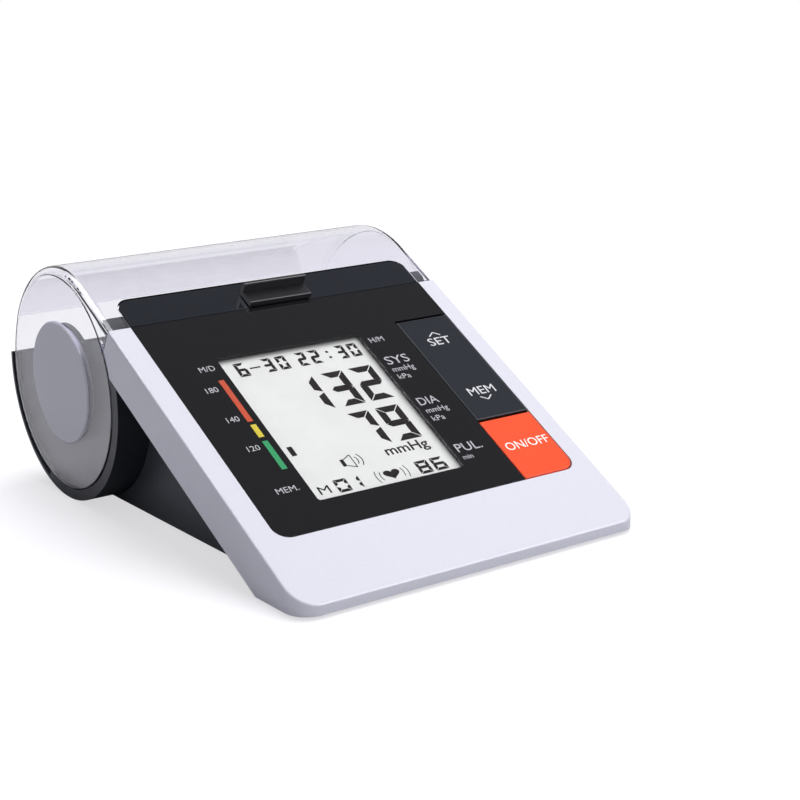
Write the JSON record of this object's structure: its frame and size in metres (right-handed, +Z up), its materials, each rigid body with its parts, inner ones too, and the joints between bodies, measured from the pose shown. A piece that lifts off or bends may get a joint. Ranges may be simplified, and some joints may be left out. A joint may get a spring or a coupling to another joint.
{
  "type": "upper arm blood pressure monitor",
  "caption": "Wedge-shaped upper arm blood pressure monitor with a sloping display, side keys and a clear drum lid that turns back over a cuff compartment.",
  "frame": {"origin": "on the table under the middle of the case", "axes": "+Z up, +X to the user's right, the sloping face looks up and towards -Y, the drum and its hinge axis lie along X at the back"},
  "size_m": [0.152, 0.2164, 0.0929],
  "materials": {
    "silver_plastic": "silver lacquer with a fine metallic grain, satin",
    "charcoal_plastic": "fine moulded texture, low sheen",
    "black_rubber": "matt rubber",
    "steel_screw": "zinc-plated",
    "clear_plastic": "clear polished plastic",
    "black_plastic": "fine moulded texture",
    "panel_black": "high gloss",
    "window_clear": "clear polished plastic",
    "lcd_glass": "pale grey display with a satin polariser",
    "white_plastic": "smooth moulded",
    "circuit_board": "green solder mask",
    "switch_black": "moulded",
    "orange_plastic": "satin",
    "key_charcoal": "satin",
    "steel_pin": "ground",
    "battery_sleeve": "printed sleeve over a metal can",
    "contact_metal": "nickel-plated",
    "motor_can": "drawn steel can",
    "pump_plastic": "moulded",
    "tube_rubber": "soft grey silicone",
    "valve_metal": "plated yoke",
    "grey_plastic": "fine satin grey"
  },
  "bodies": {
    "case": {"face_frame": "silver_plastic", "bottom_case": "charcoal_plastic", "rubber_feet": "black_rubber", "case_screws": "steel_screw", "storage_trough": "charcoal_plastic", "display_panel": "panel_black", "window_pane": "window_clear", "lcd_glass": "lcd_glass", "lcd_holder": "white_plastic", "main_board": "circuit_board", "board_screws": "steel_screw", "key_switches": "switch_black", "rocker_pin": "steel_pin", "key_bracket": "white_plastic", "buzzer": "black_plastic", "battery_cells": "battery_sleeve", "battery_contacts": "contact_metal", "pump_motor": "motor_can", "pump_head": "pump_plastic", "pump_cradle": "black_rubber", "air_tee": "pump_plastic", "air_tubes": "tube_rubber", "release_valve": "valve_metal", "pressure_sensor": "black_plastic", "air_socket": "black_plastic", "dc_inlet": "black_plastic", "hub_cap_left": "grey_plastic", "hub_cap_right": "grey_plastic"},
    "lid": {"clear_lid": "clear_plastic", "lid_latch": "black_plastic"},
    "power_key_body": {"power_key": "orange_plastic"},
    "rocker_key_body": {"rocker_key": "key_charcoal"},
    "battery_door_body": {"battery_door": "charcoal_plastic"}
  },
  "joints": [
    {"name": "lid_hinge", "type": "hinge", "parent": "case", "child": "lid", "pos_m": [0, 0.06102, 0.04742], "axis": [-1, 0, 0], "range_deg": [0, 90]},
    {"name": "power_key_press", "type": "slide", "parent": "case", "child": "power_key_body", "axis": [0, 0.4891, -0.8722], "range_m": [0, 0.0007], "stiffness_N_per_m": 2000},
    {"name": "rocker_key_tip", "type": "hinge", "parent": "case", "child": "rocker_key_body", "pos_m": [0.05416, -0.02472, 0.04603], "axis": [1, 0, 0], "range_deg": [-1.4, 1.4], "stiffness_Nm_per_rad": 1.6},
    {"name": "battery_door_hinge", "type": "hinge", "parent": "case", "child": "battery_door_body", "pos_m": [0, 0.01418, 0.0021], "axis": [1, 0, 0], "range_deg": [0, 60]}
  ]
}
